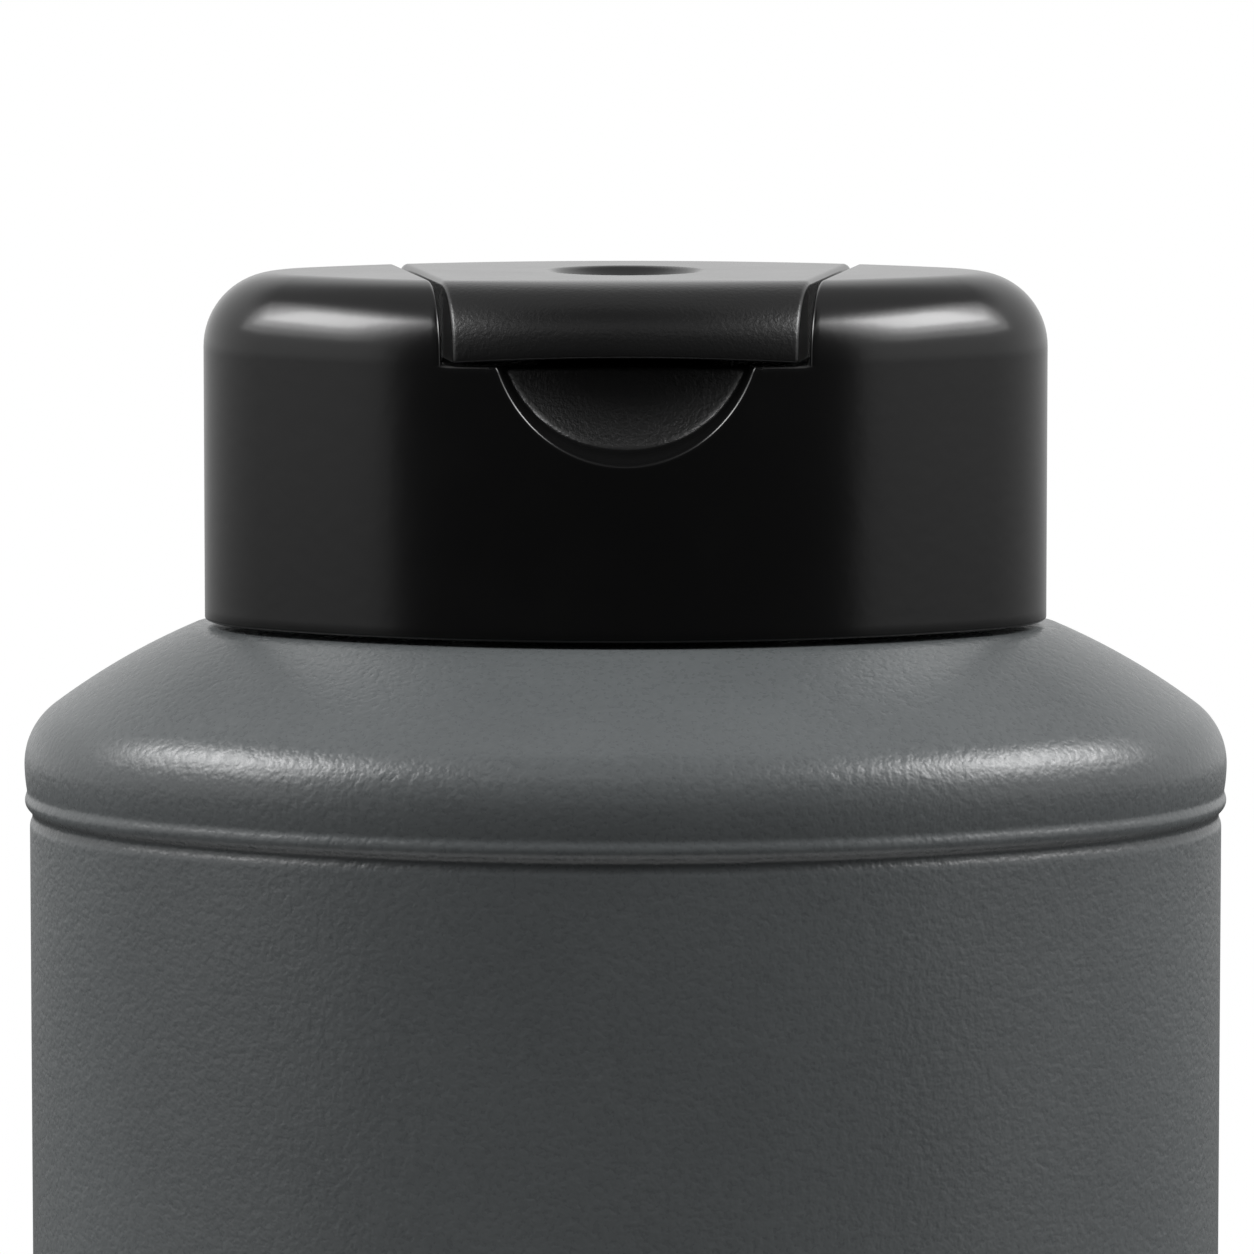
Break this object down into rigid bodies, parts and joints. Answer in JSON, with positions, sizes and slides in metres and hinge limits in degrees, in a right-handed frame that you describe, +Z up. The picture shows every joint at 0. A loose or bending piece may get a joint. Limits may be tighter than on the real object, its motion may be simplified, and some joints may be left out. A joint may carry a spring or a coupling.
{
  "type": "tire shine bottle",
  "caption": "Oval grey blow-moulded squeeze bottle with a bare label panel and a black oval push-fit cap whose flip lid opens over a plugged spout.",
  "frame": {"origin": "centre of the oval foot, on the surface the bottle stands on", "axes": "+Z up along the neck, +X to the right of someone facing the thumb recess, -Y towards that person"},
  "size_m": [0.0858, 0.0602, 0.168],
  "materials": {
    "bottle_plastic": "fine sand-textured grey polyethylene",
    "cap_plastic": "semi-gloss black polypropylene"
  },
  "bodies": {
    "root": {"bottle": "bottle_plastic", "cap_base": "cap_plastic"},
    "lid": {"flip_lid": "cap_plastic"}
  },
  "joints": [
    {"name": "lid_hinge", "type": "hinge", "parent": "root", "child": "lid", "pos_m": [0, 0.0172, 0.16265], "axis": [-1, 0, 0], "range_deg": [0, 140]}
  ]
}
